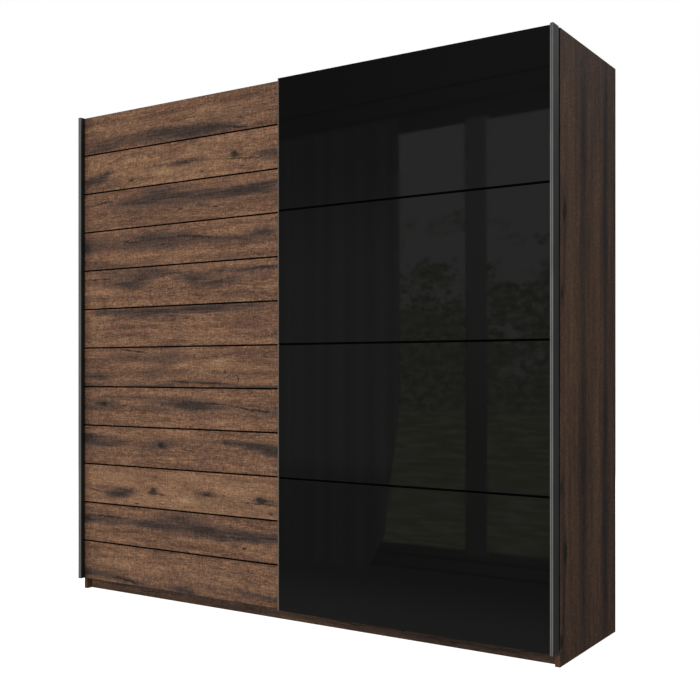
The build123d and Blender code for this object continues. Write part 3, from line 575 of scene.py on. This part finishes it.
# ------------------------------------------------------------------ other materials
def melamine(name, base, thread):
    """Board faced with a linen-printed melamine: crossing threads in the colour and the relief."""
    material = Material(name, {"IOR": 1.5, "Specular IOR Level": 0.4})
    place = material.place()
    weave = 0.0
    for axis in range(3):
        thread_size = tuple(0.05 if axis == along else 0.0009 for along in range(3))
        threads = material.noise(place, thread_size, 2.0, 0.6, 3.0 * axis)
        weave = material.math("MULTIPLY_ADD", threads, 1.0 / 3.0, weave)
    cloud = material.noise(place, (0.2, 0.2, 0.2), 2.0, 0.5, 5.0)
    share = material.math("MULTIPLY_ADD", cloud, 0.08, material.fade(weave, 0.40, 0.60, 0.0, 0.8))
    material.put(material.shader.inputs["Base Color"], material.blend(share, base, thread))
    material.put(material.shader.inputs["Roughness"], material.fade(weave, 0.35, 0.65, 0.52, 0.42))
    material.emboss(weave, 0.1 * MM)
    return material.made


def moulded(name, dark, light, roughness, grain=0.0006, gloss=0.5):
    """Moulded or laminated surface with a fine eroded texture."""
    material = Material(name, {"IOR": 1.48, "Specular IOR Level": gloss})
    place = material.place()
    texture = material.noise(place, (grain, grain, grain), 2.0, 0.6)
    cloud = material.noise(place, (0.05, 0.05, 0.05), 3.0, 0.5, 4.0)
    share = material.math("MULTIPLY_ADD", texture, 0.4, material.math("MULTIPLY", cloud, 0.6))
    material.put(material.shader.inputs["Base Color"],
                 material.blend(material.fade(share, 0.35, 0.65), dark, light))
    material.put(material.shader.inputs["Roughness"],
                 material.fade(texture, 0.3, 0.7, roughness - 0.06, roughness + 0.06))
    material.emboss(texture, 0.06 * MM)
    return material.made


def drawn_metal(name, dark, light, roughness, line, depth=0.02 * MM):
    """Extruded, drawn or rolled metal: fine die lines, long in the direction that line gives."""
    material = Material(name, {"Metallic": 1.0})
    place = material.place()
    lines = material.noise(place, line, 3.0, 0.65)
    cloud = material.noise(place, (0.12, 0.12, 0.12), 3.0, 0.55, 6.0)
    share = material.math("MULTIPLY_ADD", lines, 0.5, material.math("MULTIPLY", cloud, 0.5))
    material.put(material.shader.inputs["Base Color"],
                 material.blend(material.fade(share, 0.36, 0.64), dark, light))
    material.put(material.shader.inputs["Roughness"],
                 material.fade(lines, 0.3, 0.7, roughness + 0.07, roughness - 0.05))
    material.emboss(lines, depth)
    return material.made


def plated_steel(name):
    """Zinc plated pressings: a bright bluish film with faint yellow clouds and fine scuffs."""
    material = Material(name, {"Metallic": 1.0})
    place = material.place()
    cloud = material.noise(place, (0.012, 0.012, 0.012), 3.0, 0.6)
    scuff = material.noise(place, (0.0008, 0.006, 0.006), 2.0, 0.6, 3.0)
    film = material.blend(material.fade(cloud, 0.35, 0.68), (0.46, 0.49, 0.53), (0.60, 0.58, 0.50))
    material.put(material.shader.inputs["Base Color"], film)
    material.put(material.shader.inputs["Roughness"], material.fade(scuff, 0.3, 0.7, 0.40, 0.24))
    material.emboss(scuff, 0.02 * MM)
    return material.made


def graphite(name, colours, grip=None):
    """Satin graphite profile with die lines along it.

    grip paints shade on parts of a profile that has a grip: it takes the material and the colour
    and gives the new colour.
    """
    material = Material(name, {"Metallic": 0.25, "Specular IOR Level": 0.35})
    place = material.place()
    lines = material.noise(place, (0.0008, 0.0008, 0.25), 3.0, 0.65)
    cloud = material.noise(place, (0.10, 0.10, 0.16), 3.0, 0.55, 6.0)
    share = material.math("MULTIPLY_ADD", lines, 0.5, material.math("MULTIPLY", cloud, 0.5))
    colour = material.blend(material.fade(share, 0.36, 0.64), *colours)
    if grip:
        colour = grip(material, colour)
    material.put(material.shader.inputs["Base Color"], colour)
    material.put(material.shader.inputs["Roughness"], material.fade(lines, 0.3, 0.7, 0.56, 0.44))
    material.emboss(lines, 0.02 * MM)
    return material.made


def grip_channel_painted_shade(inner_x, front):
    """Painted shade on the left grip's side towards the planks, darker the deeper it lies."""
    def grip(material, colour):
        x, y, _z = material.axes(material.place())
        # painted shade, deepening away from the grip's front edge
        inside = material.fade(x, inner_x - 0.8 * MM, inner_x - 0.2 * MM)
        inside = product(material, inside, material.fade(y, front, front + 11.0 * MM, 0.30, 0.88))
        return material.blend(inside, colour, JOINT_AND_SHADE_BLACK)
    return grip


def lip_painted_shade(low_x, high_x):
    """Painted shade on the right grip's lip: in the flute between two bright ridges and on the
    outer flank.
    """
    def grip(material, colour):
        x, _y, z = material.axes(material.place())
        middle = (low_x + high_x) / 2
        # painted shade in the flute between the two ridges
        flute = band(material, x, middle - 1.9 * MM, middle + 1.7 * MM, 0.4 * MM)
        colour = material.blend(material.math("MULTIPLY", flute, 0.38), colour, JOINT_AND_SHADE_BLACK)
        # painted shade on the outer flank, lighter towards the top
        flank = material.fade(x, high_x - 0.5 * MM, high_x - 0.1 * MM)
        flank = product(material, flank, material.fade(z, 1.60, 2.02, 0.70, 0.45))
        return material.blend(flank, colour, JOINT_AND_SHADE_BLACK)
    return grip


def black_glass(name):
    """Back-lacquered float glass: a deep gloss with a trace of wiping marks and dust."""
    material = Material(name, {"IOR": 1.52})
    place = material.place()
    wiping = material.noise(place, (0.5, 0.5, 0.09), 4.0, 0.6)
    dust = material.noise(place, (0.0012, 0.0012, 0.0012), 1.0, 0.5, 4.0)
    gloss = material.math("MULTIPLY_ADD", material.fade(dust, 0.66, 0.76), 0.10,
                          material.fade(wiping, 0.35, 0.75, 0.012, 0.045))
    material.put(material.shader.inputs["Roughness"], gloss)
    film = material.blend(material.fade(dust, 0.68, 0.80, 0.0, 0.35), (0.0021, 0.0021, 0.0020),
                          (0.010, 0.010, 0.010))
    material.put(material.shader.inputs["Base Color"], film)
    return material.made


# ------------------------------------------------------------------ materials on the nodes
slots = {row["node"]: row["material_slot"] for row in frame["record"]["subparts"]}
shared = {
    "inner_board": melamine("linen_melamine", (0.36, 0.335, 0.30), (0.50, 0.475, 0.435)),
    "back_board": moulded("lacquered_hardboard", (0.585, 0.565, 0.535), (0.62, 0.602, 0.572),
                          0.55, 0.002),
    "core_board": moulded("black_laminate", (0.010, 0.010, 0.011), (0.018, 0.018, 0.019), 0.5),
    "joint_strip": moulded("matte_black_strip", (0.0004, 0.0004, 0.0004),
                           (0.0009, 0.0009, 0.0009), 0.85, gloss=0.0),
    "graphite_profile": graphite("graphite_aluminium", GRAPHITE),
    "silver_trim": drawn_metal("silver_aluminium", (0.86, 0.75, 0.66), (0.96, 0.85, 0.76),
                               0.30, (0.0006, 0.0006, 0.25)),
    "black_glass": black_glass("black_glass"),
    "zinc_steel": plated_steel("zinc_steel"),
    "chrome_tube": drawn_metal("chrome", (0.66, 0.67, 0.69), (0.74, 0.75, 0.77), 0.08,
                               (0.25, 0.0010, 0.0010), 0.005 * MM),
    "track_aluminium": drawn_metal("natural_aluminium", (0.52, 0.53, 0.54), (0.66, 0.67, 0.68),
                                   0.30, (0.3, 0.0008, 0.0008)),
    "rail_plastic": moulded("dark_plastic", (0.040, 0.040, 0.044), (0.060, 0.060, 0.065), 0.42),
    "wheel_plastic": moulded("pale_acetal", (0.55, 0.55, 0.53), (0.68, 0.68, 0.655), 0.35),
}


def dress(name, made):
    """Gives the node this one material."""
    data = frame["nodes"][name].data
    data.materials.clear()
    data.materials.append(made)


for node, slot in slots.items():
    if slot in shared:
        dress(node, shared[slot])

for number, figure in enumerate(PLANK_FIGURES, 1):
    node = f"left_plank_{number:02d}"
    low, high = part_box(node)
    dress(node, oak(f"oak_plank_{number:02d}", along_front(low), figure,
                    number * PLANK_SEED_STEP, PLANK_SHADE, figure["tone"], lacquered(low, high)))

for node, outer_x in (("side_panel_left", cad_low.x), ("side_panel_right", cad_high.x)):
    low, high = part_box(node)
    dress(node, oak("oak_" + node, upright(low, outer_x), SIDE_FIGURE, SIDE_SEED, SIDE_SHADE,
                    edge=tucked(low.y, high.y, FOOT_HEIGHT), gloss=0.28))

# the plinth boards get painted shade towards their foot
for number, node in enumerate(("plinth_front", "plinth_rear", "plinth_braces")):
    low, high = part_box(node)
    dress(node, oak("oak_" + node, along_front(low), PLINTH_FIGURE, PLINTH_SEED + number,
                    PLINTH_SHADE, edge=painted_foot_shade))

low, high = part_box("left_handle_profile")
dress("left_handle_profile",
      graphite("graphite_left_grip", GRAPHITE, grip_channel_painted_shade(high.x, low.y)))
low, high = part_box("right_handle_profile")
dress("right_handle_profile",
      graphite("graphite_right_grip", GRAPHITE, lip_painted_shade(high.x - GRIP_LIP, high.x)))


# ------------------------------------------------------------------ studio
BACKDROP_RADIUS = 40.0
ROOM_RADIUS = 30.0
FLOOR_HALF = 36.0
WORLD_LIGHT = 0.22
FLOOR_GLOW = 0.92

# The room that the gloss surfaces reflect. Heights and distances to the side are slopes of the
# direction as seen from the doors, both 0 straight ahead.
CURTAIN = (-0.219, 0.360)
CURTAIN_SIDE = 0.79
RAIL_SHADOWS = (0.389, 0.365, -0.194, -0.210)
MULLION = (0.436, 0.471)
RIGHT_PANE = (0.20, 0.443)
PANE_HEIGHTS = (-0.181, 0.339)

# Plain parts of the room: how light they are, and where each starts and is complete, in metres.
SIDE_WALLS = ((0.10, 0.10, 0.10), (16.0, 26.0))  # away from the middle
REAR_WALL = ((0.13, 0.13, 0.13), (-2.0, 2.0))  # behind the doors
REAR_SKYLIGHT = ((0.80, 0.82, 0.85), (9.5, 12.5))  # high on the rear wall
CEILING = ((0.55, 0.55, 0.55), (17.0, 24.0))

SOFTBOXES = {  # place, the point it faces, width, height, watts
    "key_light": ((-0.9, -5.4, 1.5), (-0.3, 0.0, 1.0), 3.6, 3.0, 380.0),
    "back_light": ((-1.6, 5.2, 2.6), (0.0, 0.3, 1.1), 3.6, 2.4, 260.0),
    "top_light": ((0.0, 0.9, 4.6), (0.0, 0.2, 2.0), 2.4, 1.2, 90.0),
    "side_light": ((2.15, -1.65, 1.05), (1.125, -0.15, 0.95), 1.0, 1.9, 17.0),
}


def emission(name, colour_of):
    """A glowing stage material that lights nothing by itself."""
    material = Material(name, {})
    material.nodes.remove(material.shader)
    glow = material.nodes.new("ShaderNodeEmission")
    material.put(glow.inputs["Color"], colour_of(material))
    material.links.new(glow.outputs[0], material.nodes["Material Output"].inputs["Surface"])
    material.made.cycles.emission_sampling = "NONE"
    return material.made


def dome(name, radius, made):
    """A sphere around the object that shows only to the camera and in reflections."""
    mesh = bpy.data.meshes.new(name)
    ball = bmesh.new()
    bmesh.ops.create_uvsphere(ball, u_segments=96, v_segments=48, radius=radius)
    ball.to_mesh(mesh)
    ball.free()
    mesh.materials.append(made)
    placed = bpy.data.objects.new(name, mesh)
    bpy.context.scene.collection.objects.link(placed)
    placed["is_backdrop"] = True
    placed.visible_diffuse = False
    placed.visible_shadow = False
    placed.visible_transmission = False
    placed.visible_volume_scatter = False
    return placed


def curtain(material, across, up, hem, spot_at):
    """Where the curtain hangs, and how light its folds are: darker near the rail and the floor."""
    drape = product(material, material.fade(material.math("SUBTRACT", across, hem), -0.002, 0.002),
                    material.fade(across, CURTAIN_SIDE + 0.01, CURTAIN_SIDE - 0.01))
    drape = product(material, drape, band(material, up, *CURTAIN, 0.006))
    folded_at = material.vector("MULTIPLY", spot_at, (1.0, 0.06, 1.0))
    folds = material.noise(folded_at, (0.016, 1.0, 1.0), 3.0, 0.6, 2.0)
    light = product(material, material.fade(folds, 0.3, 0.7, 0.135, 0.185),
                    material.fade(up, 0.34, 0.15, 0.60, 1.0),
                    material.fade(up, -0.07, -0.11, 1.0, 0.66))
    return drape, light


def walls(material, across, up):
    """How light the wall with its rails, the floor in front of it and the window's mullion are."""
    wall = material.fade(across, 0.75, 0.36, 0.050, 0.088)
    for height in RAIL_SHADOWS:
        shadow = band(material, up, height - 0.0015, height + 0.0015, 0.0015)
        wall = product(material, wall, material.math("MULTIPLY_ADD", shadow, -0.45, 1.0))
    ground = product(material, material.fade(up, -0.212, -0.290, 0.088, 0.190),
                     material.fade(up, -0.2105, -0.2125))
    mullion = product(material, material.fade(up, -0.10, 0.20, 0.110, 0.190),
                      band(material, across, *MULLION), band(material, up, -0.190, 0.345))
    return material.math("MAXIMUM", material.math("MAXIMUM", wall, ground), mullion)


def garden(material, up, spot_at):
    """Colour of the view out of the windows: sky, crowns of trees and a lawn."""
    crowns = material.noise(spot_at, (0.060, 0.045, 1.0), 3.0, 0.55, 9.0)
    leaves = material.noise(spot_at, (0.012, 0.008, 1.0), 5.0, 0.75, 10.0)
    ripple = material.noise(spot_at, (0.05, 0.006, 1.0), 3.0, 0.6, 11.0)
    height = stirred(material, stirred(material, up, crowns, 0.55), leaves, 0.35)
    leafy = material.blend(material.fade(leaves, 0.38, 0.64),
                           (0.135, 0.150, 0.108), (0.290, 0.305, 0.230))
    grass = material.blend(material.fade(ripple, 0.4, 0.65),
                           (0.190, 0.215, 0.125), (0.30, 0.31, 0.25))
    view = material.blend(material.fade(height, 0.185, 0.105), (0.37, 0.37, 0.37), leafy)
    return material.blend(material.fade(up, -0.005, -0.020), view, grass)


def room_picture(material):
    """What the gloss surfaces reflect: a dim room with curtained windows in front of the doors."""
    x, y, z = material.axes(material.place())
    ahead = material.math("MAXIMUM", material.math("MULTIPLY", y, -1.0), 0.5)
    across = material.math("DIVIDE", material.math("ABSOLUTE", x), ahead)
    up = material.math("DIVIDE", z, ahead)
    spot_at = material.node("CombineXYZ", {"X": across, "Y": up})

    # The curtain's inner edge swings out towards the floor.
    hem = material.math("ADD", material.fade(up, 0.02, -0.19, 0.563, 0.585),
                        material.fade(up, -0.165, -0.225, 0.0, 0.025))
    drape, folds = curtain(material, across, up, hem, spot_at)
    room = grey(material, walls(material, across, up))
    light = material.blend(drape, room, grey(material, folds))
    left_pane = product(material, material.fade(across, 0.470, 0.472),
                        material.fade(material.math("SUBTRACT", across, hem), 0.001, -0.001))
    right_pane = band(material, across, *RIGHT_PANE, 0.001)
    panes = product(material, material.math("ADD", left_pane, right_pane),
                    band(material, up, *PANE_HEIGHTS, 0.001))
    light = material.blend(panes, light, garden(material, up, spot_at))

    side_grey, side_span = SIDE_WALLS
    aside = material.fade(material.math("ABSOLUTE", x), *side_span)
    light = material.blend(aside, light, side_grey)
    rear_grey, rear_span = REAR_WALL
    sky_grey, sky_span = REAR_SKYLIGHT
    rear_light = material.blend(material.fade(z, *sky_span), rear_grey, sky_grey)
    light = material.blend(material.fade(y, *rear_span), light, rear_light)
    ceiling_grey, ceiling_span = CEILING
    return material.blend(material.fade(z, *ceiling_span), light, ceiling_grey)


def studio():
    """World light, the white backdrop, the room that the gloss surfaces show, and a white floor."""
    scene = bpy.context.scene
    world = bpy.data.worlds.new("studio")
    scene.world = world
    world.use_nodes = True
    background = world.node_tree.nodes["Background"]
    background.inputs["Color"].default_value = (1.0, 1.0, 1.0, 1.0)
    background.inputs["Strength"].default_value = WORLD_LIGHT
    world.cycles_visibility.camera = False
    world.cycles_visibility.glossy = False

    backdrop = dome("white_backdrop", BACKDROP_RADIUS,
                    emission("white_backdrop", lambda _material: WHITE))
    backdrop.visible_glossy = False
    room = dome("reflected_room", ROOM_RADIUS, emission("reflected_room", room_picture))
    room.visible_camera = False

    mesh = bpy.data.meshes.new("floor")
    ground = bmesh.new()
    bmesh.ops.create_grid(ground, x_segments=8, y_segments=8, size=FLOOR_HALF)
    ground.to_mesh(mesh)
    ground.free()
    floor = bpy.data.objects.new("floor", mesh)
    scene.collection.objects.link(floor)
    pale = Material("pale_floor", {
        "Base Color": (0.42, 0.42, 0.42), "Roughness": 0.9, "Specular IOR Level": 0.0,
        "Emission Color": WHITE, "Emission Strength": FLOOR_GLOW})
    pale.made.cycles.emission_sampling = "NONE"
    mesh.materials.append(pale.made)
    floor.visible_diffuse = False
    floor.visible_glossy = False
    floor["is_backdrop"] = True


def softbox(name, location, target, width, height, power):
    """A rectangular light that faces the target and is itself unseen."""
    data = bpy.data.lights.new(name, "AREA")
    data.shape = "RECTANGLE"
    data.size, data.size_y = width, height
    data.energy = power
    placed = bpy.data.objects.new(name, data)
    placed.location = location
    placed.rotation_mode = "QUATERNION"
    placed.rotation_quaternion = (Vector(target) - Vector(location)).to_track_quat("-Z", "Y")
    placed.visible_glossy = False
    placed.visible_camera = False
    bpy.context.scene.collection.objects.link(placed)


studio()
for light_name, setting in SOFTBOXES.items():
    softbox(light_name, *setting)

# ------------------------------------------------------------------ camera
CAMERA_PLACE = (2.3775, -3.4016, 0.9738)
CAMERA_TURN = 33.07  # degrees to the left of the +Y direction
LENS = 52.22
SENSOR_WIDTH = 36.0
LENS_SHIFT = (-0.0070, 0.0296)

camera_data = bpy.data.cameras.new("camera")
camera_data.sensor_width = SENSOR_WIDTH
camera_data.lens = LENS
camera_data.shift_x, camera_data.shift_y = LENS_SHIFT
camera = bpy.data.objects.new("camera", camera_data)
camera.location = CAMERA_PLACE
camera.rotation_euler = (math.radians(90.0), 0.0, math.radians(CAMERA_TURN))
bpy.context.scene.collection.objects.link(camera)
bpy.context.scene.camera = camera
bpy.context.scene.view_settings.view_transform = "Standard"

low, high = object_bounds()
